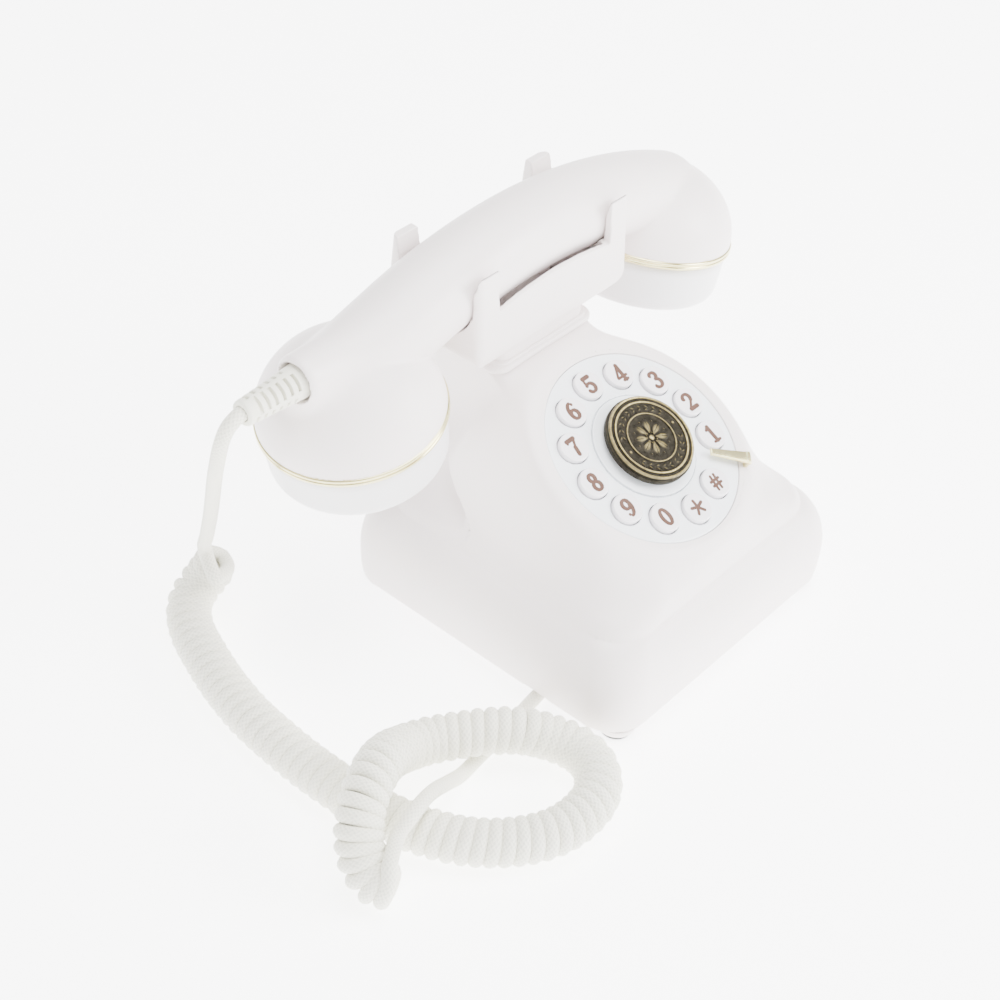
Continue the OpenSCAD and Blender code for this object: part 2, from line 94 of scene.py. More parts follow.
def make_camera():
    """The main viewpoint: front left, looking down."""
    data = bpy.data.cameras.new("Camera")
    data.lens, data.sensor_width = LENS, SENSOR
    data.clip_start, data.clip_end = 0.01, 20
    camera = bpy.data.objects.new("Camera", data)
    bpy.context.scene.collection.objects.link(camera)
    ahead = Vector((
        math.sin(CAMERA_AZIMUTH) * math.cos(CAMERA_ELEVATION),
        math.cos(CAMERA_AZIMUTH) * math.cos(CAMERA_ELEVATION),
        -math.sin(CAMERA_ELEVATION),
    ))
    camera.location = CAMERA_TARGET - CAMERA_DISTANCE * ahead
    turn = ahead.to_track_quat("-Z", "Y") @ Matrix.Rotation(CAMERA_ROLL, 3, "Z").to_quaternion()
    camera.rotation_mode = "QUATERNION"
    camera.rotation_quaternion = turn
    bpy.context.scene.camera = camera


make_camera()

# --- Mesh helpers ---


def mesh_piece(name, points, faces, material, body, normals=None, matrix=None, sharp=None):
    """A mesh object from points in millimetres. Its matrix, also in millimetres, places it."""
    points = np.asarray(points, float)
    if matrix is not None:
        turn = np.array(matrix, float)
        points = points @ turn[:3, :3].T + turn[:3, 3]
        normals = None if normals is None else normals @ turn[:3, :3].T
    mesh = bpy.data.meshes.new(name)
    mesh.from_pydata((points * MM).tolist(), [], faces)
    mesh.validate()
    mesh.polygons.foreach_set("use_smooth", [True] * len(mesh.polygons))
    if sharp is not None:
        mesh.set_sharp_from_angle(angle=math.radians(sharp))
    if normals is not None:
        mesh.normals_split_custom_set_from_vertices(normals.tolist())
    mesh.materials.append(material)
    obj = bpy.data.objects.new(name, mesh)
    bpy.context.scene.collection.objects.link(obj)
    if body:
        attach(obj, body)
    return obj


def arc(cx, cy, r, start, end, steps=8):
    """Points of an arc, its angles in degrees."""
    angles = np.radians(np.linspace(start, end, steps + 1))
    return [(cx + r * math.cos(a), cy + r * math.sin(a)) for a in angles]


def revolve(profile, steps=96):
    """Points and faces of an outline of (radius, height) turned about Z, closed at the axis."""
    points, rings = [], []
    for r, z in profile:
        if r < 1e-6:
            rings.append([len(points)] * steps)
            points.append((0, 0, z))
        else:
            rings.append(list(range(len(points), len(points) + steps)))
            points += [(r * math.cos(2 * math.pi * k / steps),
                        r * math.sin(2 * math.pi * k / steps), z) for k in range(steps)]
    faces = []
    for low, high in zip(rings, rings[1:]):
        for k in range(steps):
            loop = [low[k], low[(k + 1) % steps], high[(k + 1) % steps], high[k]]
            faces.append(list(dict.fromkeys(loop)))
    return points, faces


def smooth_min(a, b, k):
    h = np.clip(0.5 + 0.5 * (b - a) / k, 0, 1)
    return b * (1 - h) + a * h - k * h * (1 - h)


def smooth_max(a, b, k):
    return -smooth_min(-a, -b, k)


def cut(d, one, two):
    """The shape d without what both the others hold."""
    return np.maximum(d, -np.maximum(one, two))


def rounded_box(x, y, half_x, half_y, r):
    """Distance to a rounded rectangle."""
    qx, qy = np.abs(x) - (half_x - r), np.abs(y) - (half_y - r)
    return np.hypot(np.maximum(qx, 0), np.maximum(qy, 0)) + np.minimum(np.maximum(qx, qy), 0) - r


def slab_between(d, z, low, high, edge):
    """A flat shape of distance d, between two heights, with rounded edges."""
    q = np.abs(z - (low + high) / 2) - ((high - low) / 2 - edge)
    p = d + edge
    return np.hypot(np.maximum(p, 0), np.maximum(q, 0)) + np.minimum(np.maximum(p, q), 0) - edge


def gradient(field, p, h=0.04):
    steps = np.eye(3) * h
    return np.stack([(field(*(p + s).T) - field(*(p - s).T)) / (2 * h) for s in steps], -1)


def even(field):
    """The field divided by its own steepness, so that it grows evenly away from its surface."""
    def evened(x, y, z):
        h = 0.6
        f = field(x, y, z)
        steep = np.sqrt((field(x + h, y, z) - f) ** 2 + (field(x, y + h, z) - f) ** 2
                        + (field(x, y, z + h) - f) ** 2) / h
        return f / np.maximum(steep, 0.3)
    return evened


def sample(field, axes, step):
    """The field on a grid. A coarse grid says where the surface is near, and only those points
    are worked out."""
    every = 4
    rough = [a[::every] for a in axes]
    shape = [len(a) for a in rough]
    grid = np.stack(np.meshgrid(*rough, indexing="ij"), 0).reshape(3, -1)
    coarse = field(*grid).reshape(shape)
    nearest = [np.minimum((np.arange(len(a)) + every // 2) // every, n - 1)
               for a, n in zip(axes, shape)]
    values = coarse[np.ix_(*nearest)]
    where = np.nonzero(np.abs(values) < 1.8 * every * step)
    for part in np.array_split(np.arange(len(where[0])), max(1, len(where[0]) // 400000)):
        i, j, k = (w[part] for w in where)
        values[i, j, k] = field(axes[0][i], axes[1][j], axes[2][k])
    return values


def surface(field, low, high, step, rounds=3):
    """Points, quads and normals of the surface where the field is zero: surface nets on a grid,
    evened out and then moved onto the surface itself."""
    axes = [np.arange(a - 2 * step, b + 3 * step, step) for a, b in zip(low, high)]
    values = sample(field, axes, step)
    inside = values < 0
    size = np.array(inside.shape)
    corners = list(itertools.product((0, 1), repeat=3))
    count = sum(inside[a:size[0] - 1 + a, b:size[1] - 1 + b, c:size[2] - 1 + c].astype(np.int8)
                for a, b, c in corners)
    cells = np.argwhere((count > 0) & (count < 8))
    index = np.full(size - 1, -1)
    index[tuple(cells.T)] = np.arange(len(cells))
    total, hits = np.zeros((len(cells), 3)), np.zeros(len(cells))
    for a, b in itertools.combinations(corners, 2):
        if sum(abs(p - q) for p, q in zip(a, b)) != 1:
            continue
        va, vb = values[tuple((cells + a).T)], values[tuple((cells + b).T)]
        cross = (va < 0) != (vb < 0)
        t = va[cross] / (va[cross] - vb[cross])
        total[cross] += np.array(a) + t[:, None] * (np.array(b) - np.array(a))
        hits[cross] += 1
    points = np.array([a[0] for a in axes]) + step * (cells + total / hits[:, None])
    quads = []
    for axis in range(3):
        u, v = (axis + 1) % 3, (axis + 2) % 3
        one = np.eye(3, dtype=int)
        here = [slice(1, n - 1) for n in size]
        here[axis] = slice(0, size[axis] - 1)
        there = list(here)
        there[axis] = slice(1, size[axis])
        first, second = inside[tuple(here)], inside[tuple(there)]
        edges = np.argwhere(first != second)
        flip = first[tuple(edges.T)]
        edges = edges + (1 - one[axis])
        around = (-one[u] - one[v], -one[v], 0 * one[u], -one[u])
        quad = np.stack([index[tuple((edges + o).T)] for o in around], 1)
        quad[~flip] = quad[~flip][:, ::-1]
        quads.append(quad)
    quads = np.concatenate(quads)
    ends = np.concatenate([quads, np.roll(quads, -1, 1)]).reshape(2, -1)
    links = (np.bincount(ends[0], minlength=len(points))
             + np.bincount(ends[1], minlength=len(points)))
    for turn in range(rounds):
        if turn:
            mean = np.stack([np.bincount(ends[0], points[ends[1], c], len(points))
                             + np.bincount(ends[1], points[ends[0], c], len(points))
                             for c in range(3)], 1)
            points = points + 0.5 * (mean / links[:, None] - points)
        for _ in range(2):
            g = gradient(field, points)
            move = (field(*points.T) / np.maximum((g ** 2).sum(1), 0.05))[:, None] * g
            far = np.linalg.norm(move, axis=1, keepdims=True)
            points = points - move * np.minimum(1, 0.6 * step / np.maximum(far, 1e-9))
    g = gradient(field, points)
    return points, quads.tolist(), g / np.maximum(np.linalg.norm(g, axis=1, keepdims=True), 1e-9)


def field_piece(name, field, low, high, step, material, body, matrix=None):
    points, quads, normals = surface(field, low, high, step)
    return mesh_piece(name, points, quads, material, body, normals=normals, matrix=matrix)


# --- Places ---

TO_DIAL = Matrix.Translation((0, DIAL_Y, DIAL_Z)) @ Matrix.Rotation(DIAL_TILT, 4, "X")


def dial_coordinates(x, y, z):
    """x, y, z in the dial's own frame: across, up the slope, and out of the dial."""
    dy, dz = y - DIAL_Y, z - DIAL_Z
    c, s = math.cos(DIAL_TILT), math.sin(DIAL_TILT)
    return x, dy * c + dz * s, dz * c - dy * s


def key_angle(i):
    return FIRST_KEY + KEY_PITCH * i


def to_key(i):
    a = key_angle(i)
    return TO_DIAL @ Matrix.Translation((KEY_CIRCLE_R * math.cos(a), KEY_CIRCLE_R * math.sin(a), 0))


def to_cup(side):
    place = Matrix.Translation((side * CUP_X, HANDSET_Y, CUP_Z))
    return place @ Matrix.Rotation(side * CUP_LEAN, 4, "Y")


def cup_coordinates(x, y, z, side):
    dx, dz = x - side * CUP_X, z - CUP_Z
    c, s = math.cos(CUP_LEAN), side * math.sin(CUP_LEAN)
    return dx * c - dz * s, y - HANDSET_Y, dx * s + dz * c


# --- Materials ---


class Nodes:
    """A short way to write one material's nodes."""

    def __init__(self, name):
        self.material = bpy.data.materials.new(name)
        self.material.use_nodes = True
        self.tree = self.material.node_tree
        self.shader = self.tree.nodes["Principled BSDF"]

    def feed(self, socket, value):
        """Link or set an input. A colour of three numbers gets its alpha."""
        if isinstance(value, bpy.types.NodeSocket):
            self.tree.links.new(value, socket)
        else:
            color = socket.type == "RGBA" and len(value) == 3
            socket.default_value = (*value, 1) if color else value

    def add(self, kind, inputs=(), **settings):
        node = self.tree.nodes.new(kind)
        for key, value in settings.items():
            setattr(node, key, value)
        for key, value in dict(inputs).items():
            self.feed(node.inputs[key], value)
        return node

    def place(self):
        return self.add("ShaderNodeTexCoord").outputs["Object"]

    def noise(self, scale, detail=3.0, rough=0.5, vector=None):
        return self.add("ShaderNodeTexNoise", {"Vector": vector or self.place(), "Scale": scale,
                                               "Detail": detail, "Roughness": rough}).outputs["Fac"]

    def ramp(self, value, low, high, to_low, to_high):
        inputs = {"Value": value, "From Min": low, "From Max": high,
                  "To Min": to_low, "To Max": to_high}
        return self.add("ShaderNodeMapRange", inputs).outputs["Result"]

    def mix(self, fac, one, two):
        return self.add("ShaderNodeMix", {0: fac, 6: one, 7: two}, data_type="RGBA").outputs[2]

    def math(self, operation, a, b=0.0):
        return self.add("ShaderNodeMath", {0: a, 1: b, 2: 0.0}, operation=operation).outputs[0]

    def bump(self, height, distance, strength=1.0, normal=None):
        inputs = {"Height": height, "Distance": distance, "Strength": strength}
        if normal is not None:
            inputs["Normal"] = normal
        return self.add("ShaderNodeBump", inputs).outputs["Normal"]

    def set(self, **values):
        names = {"color": "Base Color", "rough": "Roughness", "normal": "Normal",
                 "metal": "Metallic", "coat": "Coat Weight", "coat_rough": "Coat Roughness",
                 "sheen": "Sheen Weight", "sheen_rough": "Sheen Roughness"}
        for key, value in values.items():
            self.feed(self.shader.inputs[names[key]], value)
        return self.material


def worn_edges(n):
    """1 on worn outer edges, 0 elsewhere, broken up by a noise."""
    edge = n.ramp(n.add("ShaderNodeNewGeometry").outputs["Pointiness"], 0.53, 0.62, 0.0, 1.0)
    return n.math("MULTIPLY", edge, n.ramp(n.noise(260, 4), 0.35, 0.7, 0.2, 1.0))


def darker(color, by):
    return tuple(c * by for c in color)


def plastic(name, color, rough, coat=0.0, grain=0.012):
    """Moulded plastic: faint flow marks in the colour, a fine grain, and rubbed edges."""
    n = Nodes(name)
    flow = n.noise(22, 4, 0.6)
    base = n.mix(n.ramp(flow, 0.3, 0.7, 0, 1), darker(color, 1 - 0.03), color)
    wear = worn_edges(n)
    base = n.mix(n.math("MULTIPLY", wear, 0.35), base, tuple(min(1, c * 1.05) for c in color))
    handled = n.noise(70, 5, 0.65)
    roughness = n.math("SUBTRACT", n.ramp(handled, 0.3, 0.7, rough - 0.05, rough + 0.06),
                       n.math("MULTIPLY", wear, 0.08))
    fine = n.bump(n.noise(2600, 2), 0.00002, grain * 10)
    normal = n.bump(n.noise(55, 2), 0.0003, 0.05, fine)
    return n.set(color=base, rough=roughness, normal=normal, coat=coat, coat_rough=0.08)


def metal(name, color, rough, brushed=0.3, worn=None):
    """Plated metal: fine polishing lines, smudges in its gloss and a slight change of colour."""
    n = Nodes(name)
    place = n.add("ShaderNodeMapping", {"Vector": n.place(), "Scale": (1, 1, 6)}).outputs["Vector"]
    lines = n.noise(900, 2, 0.5, place)
    smudge = n.noise(120, 4, 0.6)
    base = n.mix(n.ramp(smudge, 0.35, 0.7, 0, 1), darker(color, 0.82), color)
    if worn:
        base = n.mix(worn_edges(n), base, worn)
    return n.set(color=base, metal=1.0, rough=n.ramp(smudge, 0.3, 0.7, rough, rough + 0.14),
                 normal=n.bump(lines, 0.00003, brushed))


def rubber(name, color, rough=0.6):
    """Moulded rubber: matt, cloudy and faintly speckled."""
    n = Nodes(name)
    speck = n.noise(900, 3, 0.6)
    base = n.mix(n.ramp(n.noise(60, 4), 0.3, 0.7, 0, 1), darker(color, 0.88), color)
    return n.set(color=base, rough=n.ramp(speck, 0.3, 0.7, rough - 0.08, rough + 0.1),
                 normal=n.bump(speck, 0.00004, 0.35), sheen=0.15)


def circuit_board(name):
    """Green lacquer with tinned dots."""
    n = Nodes(name)
    cells = n.add("ShaderNodeTexVoronoi", {"Vector": n.place(), "Scale": 420.0}, feature="F1")
    dots = n.ramp(cells.outputs["Distance"], 0.12, 0.2, 1.0, 0.0)
    base = n.mix(n.ramp(n.noise(90, 4), 0.4, 0.6, 0, 1), (0.02, 0.13, 0.05), (0.04, 0.22, 0.09))
    base = n.mix(n.math("MULTIPLY", dots, 0.6), base, (0.5, 0.42, 0.2))
    return n.set(color=base, rough=n.ramp(n.noise(300), 0.3, 0.7, 0.3, 0.45),
                 normal=n.bump(dots, 0.00006, 0.5))


def cast_iron(name):
    """Rough, pitted iron."""
    n = Nodes(name)
    pits = n.noise(650, 6, 0.7)
    base = n.mix(n.ramp(pits, 0.35, 0.65, 0, 1), (0.05, 0.05, 0.055), (0.16, 0.16, 0.17))
    return n.set(color=base, metal=0.8, rough=n.ramp(pits, 0.3, 0.7, 0.5, 0.75),
                 normal=n.bump(pits, 0.0003, 0.8))


def antique_bronze(name):
    """Dark patina in the hollows and rubbed brass on what stands out, from the relief attribute."""
    n = Nodes(name)
    relief = n.add("ShaderNodeAttribute", attribute_name="relief").outputs["Fac"]
    patina = n.noise(500, 6, 0.7)
    dark = n.mix(n.ramp(patina, 0.35, 0.65, 0, 1), (0.011, 0.0095, 0.006), (0.032, 0.028, 0.02))
    rub = n.math("MULTIPLY", n.ramp(relief, 0.5, 1.0, 0.0, 1.0),
                 n.ramp(n.noise(900, 4), 0.3, 0.6, 0.5, 1.0))
    base = n.mix(rub, dark, (0.5, 0.4, 0.17))
    roughness = n.math("SUBTRACT", n.ramp(patina, 0.3, 0.7, 0.4, 0.56),
                       n.math("MULTIPLY", rub, 0.18))
    return n.set(color=base, metal=0.9, rough=roughness, normal=n.bump(patina, 0.00006, 0.5))


def braid(name, color, strands, run):
    """A woven sleeve: two sets of yarns that cross over and under each other. U goes round it,
    and V along it in metres."""
    n = Nodes(name)
    uv = n.add("ShaderNodeSeparateXYZ", {0: n.add("ShaderNodeUVMap").outputs["UV"]}).outputs
    round_, along = n.math("MULTIPLY", uv[0], strands), n.math("MULTIPLY", uv[1], run)
    ways = [n.math(way, round_, along) for way in ("ADD", "SUBTRACT")]
    yarns = [n.math("ABSOLUTE", n.math("SINE", n.math("MULTIPLY", w, math.pi))) for w in ways]
    crossings = n.math("ADD", *[n.math("FLOOR", w) for w in ways])
    over = n.math("PINGPONG", crossings, 1.0)
    height = n.math("MAXIMUM", n.math("MULTIPLY", yarns[0], n.ramp(over, 0, 1, 0.72, 1.0)),
                    n.math("MULTIPLY", yarns[1], n.ramp(over, 0, 1, 1.0, 0.72)))
    fibre = n.noise(5200, 3)
    # Painted shade: the colour is darker in the dips between the yarns and where a yarn runs under
    # its neighbour, and the fibre noise varies its tone a little.
    shade = n.math("MULTIPLY", n.ramp(height, 0.5, 1.0, 0.0, 1.0),
                   n.ramp(fibre, 0.3, 0.7, 0.85, 1.0))
    soil = n.ramp(n.noise(40, 4), 0.35, 0.7, 0.0, 0.35)
    base = n.mix(shade, darker(color, 0.74), color)
    base = n.mix(soil, base, tuple(c * s for c, s in zip(color, (0.97, 0.95, 0.9))))
    normal = n.bump(fibre, 0.00004, 0.35, n.bump(height, 0.00022, 0.7))
    return n.set(color=base, rough=n.ramp(height, 0.5, 1.0, 0.92, 0.74), normal=normal, sheen=0.25,
                 sheen_rough=0.5)


def printed_ink(name, color):
    """A mottled print with a faint sheen."""
    n = Nodes(name)
    mottle = n.noise(1500, 3)
    base = n.mix(n.ramp(mottle, 0.3, 0.7, 0, 1), darker(color, 0.85), color)
    return n.set(color=base, metal=0.15, rough=n.ramp(mottle, 0.3, 0.7, 0.32, 0.45),
                 normal=n.bump(mottle, 0.00002, 0.4))


LOOKS = {name: make(name, *given) for name, make, *given in (
    ("warm_white_plastic", plastic, (0.845, 0.78, 0.768), 0.42),
    ("cap_plastic", plastic, (0.81, 0.80, 0.81), 0.34),
    ("dial_plastic", plastic, (0.85, 0.88, 0.91), 0.2, 0.4, 0.003),
    ("key_plastic", plastic, (0.85, 0.82, 0.845), 0.22, 0.3, 0.003),
    ("gold_trim", metal, (0.82, 0.74, 0.40), 0.14, 0.15),
    ("antique_bronze", antique_bronze),
    ("ivory_braid", braid, (0.87, 0.86, 0.75), 10, 640),
    ("ivory_rubber", rubber, (0.82, 0.81, 0.7), 0.5),
    ("black_rubber", rubber, (0.02, 0.02, 0.02), 0.7),
    ("steel", metal, (0.62, 0.62, 0.63), 0.25, 0.4, (0.8, 0.8, 0.8)),
    ("iron_weight", cast_iron),
    ("board_green", circuit_board),
    ("grey_rubber", rubber, (0.2, 0.22, 0.25)),
    ("black_plastic", plastic, (0.025, 0.025, 0.028), 0.4),
    ("plug_plastic", plastic, (0.74, 0.74, 0.69), 0.2, 0.5, 0.003),
)}
INK = printed_ink("copper_ink", (0.1, 0.045, 0.028))
SLOT_OF = {part["node"]: part["material_slot"] for part in frame["record"]["subparts"]}
for node_name, node in frame["nodes"].items():
    node.data.materials.clear()
    node.data.materials.append(LOOKS[SLOT_OF[node_name]])

# --- Cord ---

HANDSET_ROUTE = [
    (-124.3, 39, 118), (-127, 39, 117.2), (-129.4, 39.6, 114.6), (-130.6, 41, 109),
    (-129.5, 44.5, 99), (-126.5, 49.5, 88), (-122, 56, 74), (-117, 63.5, 58), (-112.5, 71, 42),
    (-109.5, 76, 31), (-108, 78, 24)]
COIL_ROUTE = [
    (-103.5, 76.5, 21), (-106.5, 79, 14.5), (-112, 79.5, 10), (-118, 76, 8.2), (-124.5, 67, 8.2),
    (-129.5, 55, 8.2), (-134.5, 40, 8.2), (-138, 24, 8.2), (-139.5, 8, 8.2), (-140, -6, 8.2),
    (-139.5, -20, 8.2), (-138, -36, 8.2), (-133.5, -51, 8.2), (-127, -63, 8.2), (-118, -72.5, 8.2),
    (-107, -79, 8.2), (-95.5, -81, 8.2), (-84.5, -79, 8.2), (-76.5, -72, 8.2), (-74, -63, 8.2),
    (-77.5, -54, 10), (-84.5, -47, 13.4), (-92.5, -40, 14.2), (-100, -34, 13.8),
    (-108.5, -28.5, 13.6), (-118, -26.5, 16), (-128, -28.5, 22), (-137, -32, 26),
    (-146, -36, 25.6), (-153.5, -40.5, 21), (-158, -46, 14.5), (-159, -52, 10), (-158, -58.5, 8.6)]
BASE_ROUTE = [
    (-151.2, -51, 13), (-147, -50.5, 17.5), (-140, -49.5, 20.2), (-132, -47.5, 19.6),
    (-124, -45, 15.6), (-115, -42.5, 9.6), (-106, -40.5, 4.6), (-96, -38.5, 2.7), (-86, -37.5, 2.6),
    (-76, -36.5, 2.6), (-68, -35, 2.6), (-62, -34.2, 2.6), (-57.5, -34, 3.6), (-53.4, -34, 6.6),
    (-49.4, -34, 9.2)]
COIL_TURNS = 86
TURN_STEPS = 16


def spaced_line(points, spacing):
    """Evenly spaced points on a smooth curve through the given ones."""
    p = np.array(points, float)
    p = np.vstack([2 * p[0] - p[1], p, 2 * p[-1] - p[-2]])
    t = np.linspace(0, 1, 24, endpoint=False)[:, None]
    parts = [0.5 * (2 * b + (c - a) * t + (2 * a - 5 * b + 4 * c - d) * t ** 2
                    + (3 * b - a - 3 * c + d) * t ** 3)
             for a, b, c, d in zip(p, p[1:], p[2:], p[3:])]
    line = np.vstack(parts + [p[-2:-1]])
    run = np.concatenate([[0], np.cumsum(np.linalg.norm(np.diff(line, axis=0), axis=1))])
    at = np.linspace(0, run[-1], max(2, round(run[-1] / spacing) + 1))
    return np.stack([np.interp(at, run, line[:, c]) for c in range(3)], 1)


def frames_along(line):
    """Unit tangents and two unit normals that turn as little as they can."""
    tangents = np.gradient(line, axis=0)
    tangents /= np.linalg.norm(tangents, axis=1, keepdims=True)
    side = np.cross(tangents[0], (0, 0, 1) if abs(tangents[0][2]) < 0.9 else (0, 1, 0))
    sides = []
    for t in tangents:
        side = side - (side @ t) * t
        side = side / np.linalg.norm(side)
        sides.append(side)
    sides = np.array(sides)
    return tangents, sides, np.cross(tangents, sides)


def length_of(line):
    return float(np.linalg.norm(np.diff(line, axis=0), axis=1).sum())


def unit(v):
    return v / np.linalg.norm(v)


def helix_along(route, arriving, leaving):
    """The wound part's centre line, and its directions at both ends. Its first and last turns
    are set so that it begins and ends in line with the leads, whose directions are given."""
    axis = spaced_line(route, 0.25)
    count = COIL_TURNS * TURN_STEPS
    at = np.linspace(0, len(axis) - 1, count + 1)
    axis = np.stack([np.interp(at, np.arange(len(axis)), axis[:, c]) for c in range(3)], 1)
    _, side, up = frames_along(axis)
    start, end = (math.atan2(way @ side[i], -(way @ up[i]))
                  for i, way in ((0, arriving), (-1, leaving)))
    turned = 2 * math.pi * COIL_TURNS + (start - end) % (2 * math.pi)
    phase = start - turned * np.arange(count + 1) / count
    radius = COIL_R - LEAD_R
    line = axis + radius * (np.cos(phase)[:, None] * side + np.sin(phase)[:, None] * up)
    return line, unit(line[1] - line[0]), unit(line[-1] - line[-2])


def tube_piece(name, line, radius, sides, material, body):
    """A tube with U round it and V along it in metres."""
    _, side, up = frames_along(line)
    turn = 2 * math.pi * np.arange(sides) / sides
    rings = line[:, None] + radius * (np.cos(turn)[None, :, None] * side[:, None]
                                      + np.sin(turn)[None, :, None] * up[:, None])
    count = len(line)
    i, k = np.meshgrid(np.arange(count - 1), np.arange(sides), indexing="ij")
    here, after = i * sides + k, i * sides + (k + 1) % sides
    quads = np.stack([here, after, after + sides, here + sides], -1).reshape(-1, 4)
    ends = [list(range(sides))[::-1], list(range((count - 1) * sides, count * sides))]
    obj = mesh_piece(name, rings.reshape(-1, 3), quads.tolist() + ends, material, None, sharp=60)
    run = np.concatenate([[0], np.cumsum(np.linalg.norm(np.diff(line, axis=0), axis=1))]) * MM
    u = np.stack([k, k + 1, k + 1, k], -1).reshape(-1) / sides
    v = run[np.stack([i, i, i + 1, i + 1], -1).reshape(-1)]
    cap = np.zeros((2 * sides, 2))
    layer = obj.data.uv_layers.new(name="UVMap")
    layer.data.foreach_set("uv", np.vstack([np.stack([u, v], 1), cap]).astype(np.float32).ravel())
    if body:
        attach(obj, body)
    return obj


def make_cord():
    """One braided cord from the handset's boot, through the coil, to the plug under the base."""
    down, under = np.array(HANDSET_ROUTE), np.array(BASE_ROUTE)
    helix, first, last = helix_along(COIL_ROUTE, unit(down[-1] - down[-2]),
                                     unit(under[1] - under[0]))
    lead = spaced_line([(IN_BOOT_X, HANDSET_Y, BOOT_Z), *down[:-1], helix[0] - 8 * first,
                        helix[0] - 3.5 * first, helix[0]], 1.5)
    tail = spaced_line([helix[-1], helix[-1] + 3 * last, helix[-1] + (4, 2.5, 5.5),
                        *under[1:]], 1.5)
    line = np.vstack([lead[:-1], helix, tail[1:]])
    for join in (len(lead) - 1, len(lead) + len(helix) - 2):
        near = slice(join - 4, join + 5)
        for _ in range(8):
            line[near] = (line[near] + (line[join - 5:join + 4] + line[join - 3:join + 6]) / 2) / 2
    obj = tube_piece("braided_cord", line, LEAD_R, 12, LOOKS["ivory_braid"], None)
    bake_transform(obj)
    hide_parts("cord_handset_lead", "curly_cord", "cord_base_lead")
    return obj, line


cord, cord_line = make_cord()

# --- Housing ---


# The base is widest at BULGE_Z. Its upper tier stands in from its sides by TIER_INSET.
BULGE_Z, TIER_INSET = 18, 10.4
TIER_HALF = BASE_HALF - TIER_INSET


def slab_field(x, y, z):
    """The square base: its sides bulge a little, are rolled over at the top and drawn in below."""
    rise = np.clip((z - BULGE_Z) / (TIER_Z + 0.6 - BULGE_Z), 0, 0.999)
    above = TIER_INSET * (1 - np.sqrt(1 - rise ** 2))
    below = 0.7 * (np.maximum(BULGE_Z - z, 0) / (BULGE_Z - UNDERSIDE_Z)) ** 2.5
    inset = np.where(z > BULGE_Z, above, below)
    corner = 15.5 - 0.25 * inset
    side = rounded_box(x, y - BASE_Y, BASE_HALF - inset, BASE_HALF - inset, corner)
    return smooth_max(side, z - TIER_Z - 0.6, 0.6)


def tower_field(x, y, z):
    """The tower: its flanks sweep in to the neck, and its front follows the sloping dial."""
    t = np.clip((NECK_Z - z) / (NECK_Z - TIER_Z), -0.3, 1.05)
    flank = NECK_X + 2 + 28 * t ** 3
    slope = DIAL_Y + ((z - DIAL_Z) * math.cos(DIAL_TILT) + 6) / math.sin(DIAL_TILT)
    front = smooth_max(slope, np.full_like(z, BASE_Y - BASE_HALF + 10), 6)
    rear = CRADLE_Y + NECK_Y + 1 - 11 * t
    half = (rear - front) / 2
    d = rounded_box(x, y - (front + rear) / 2, flank, half, 7 + 7 * t)
    return smooth_max(d, z - NECK_Z, 1.0)


def skirt_field(x, y, z):
    """The tower's soft-edged foot, which stands on the slab."""
    d = rounded_box(x, y - BASE_Y, TIER_HALF, TIER_HALF, 12.5)
    return slab_between(d, z, 25, TIER_Z + 3.0, 2.6)


def drum_field(x, y, z):
    """The round bezel under the dial. Below it the circle turns evenly into a rounded square."""
    u, v, w = dial_coordinates(x, y, z)
    edge_z = DIAL_Z - 1.6 + math.sin(DIAL_TILT) * v / (1 + (v / DRUM_R) ** 8) ** 0.125
    low = (edge_z - z) / (edge_z - TIER_Z - 0.5)
    low = np.minimum((low + np.sqrt(low * low + 0.01)) / 2, 1)
    low = low + 0.7 * low * (1 - low)
    square = (np.abs(x) ** 9 + np.abs(y - BASE_Y) ** 9) ** (1 / 9) - TIER_HALF
    square = square + 0.15 * (y + np.sqrt(y * y + 200))
    side = (1 - low) * (np.hypot(u, v) - DRUM_R) + low * square
    return smooth_max(smooth_max(side, w + 1.6, 4.5), -40 - w, 1)


even_slab, even_tower, even_drum = even(slab_field), even(tower_field), even(drum_field)


def housing_outside(x, y, z):
    tower = smooth_min(even_tower(x, y, z), skirt_field(x, y, z), 6)
    tower = smooth_min(tower, even_drum(x, y, z), 7)
    return smooth_min(smooth_max(tower, 24 - z, 1), even_slab(x, y, z), 0.6)


BEZEL_GAP = 1.2


def housing_field(x, y, z):
    """The housing's shell, with the dial's recess, the open neck and underside and the openings
    at its rim."""
    outside = housing_outside(x, y, z)
    u, v, w = dial_coordinates(x, y, z)
    r = np.hypot(u, v)
    ledge = slab_between(r - DRUM_R + 2, w, -8.5, -2, 0.5)
    cavity = smooth_max(outside + WALL, -ledge, 0.5)
    d = smooth_max(outside, -cavity, 0.5)
    d = cut(d, r - PLATE_R - BEZEL_GAP, PLATE_FLOOR - w)
    d = cut(d, r - PLATE_R + 2, -12 - w)
    d = cut(d, rounded_box(x, y - CRADLE_Y, NECK_HOLE_X, NECK_HOLE_Y, 2), 80 - z)
    d = np.maximum(d, UNDERSIDE_Z - z)
    d = cut(d, rounded_box(x, y - BASE_Y, 57.1, 57.1, 11), z - 9)
    d = cut(d, rounded_box(y - JACK_Y, z - 3, 5, 3.1, 1), x + BASE_HALF - 8)
    back = BASE_Y + BASE_HALF - 6 - y
    d = cut(d, rounded_box(x + 8, z - 16.5, 7, 4.5, 0.6), back)
    return cut(d, rounded_box(x - 12, z - 15, 6, 3, 0.6), back)


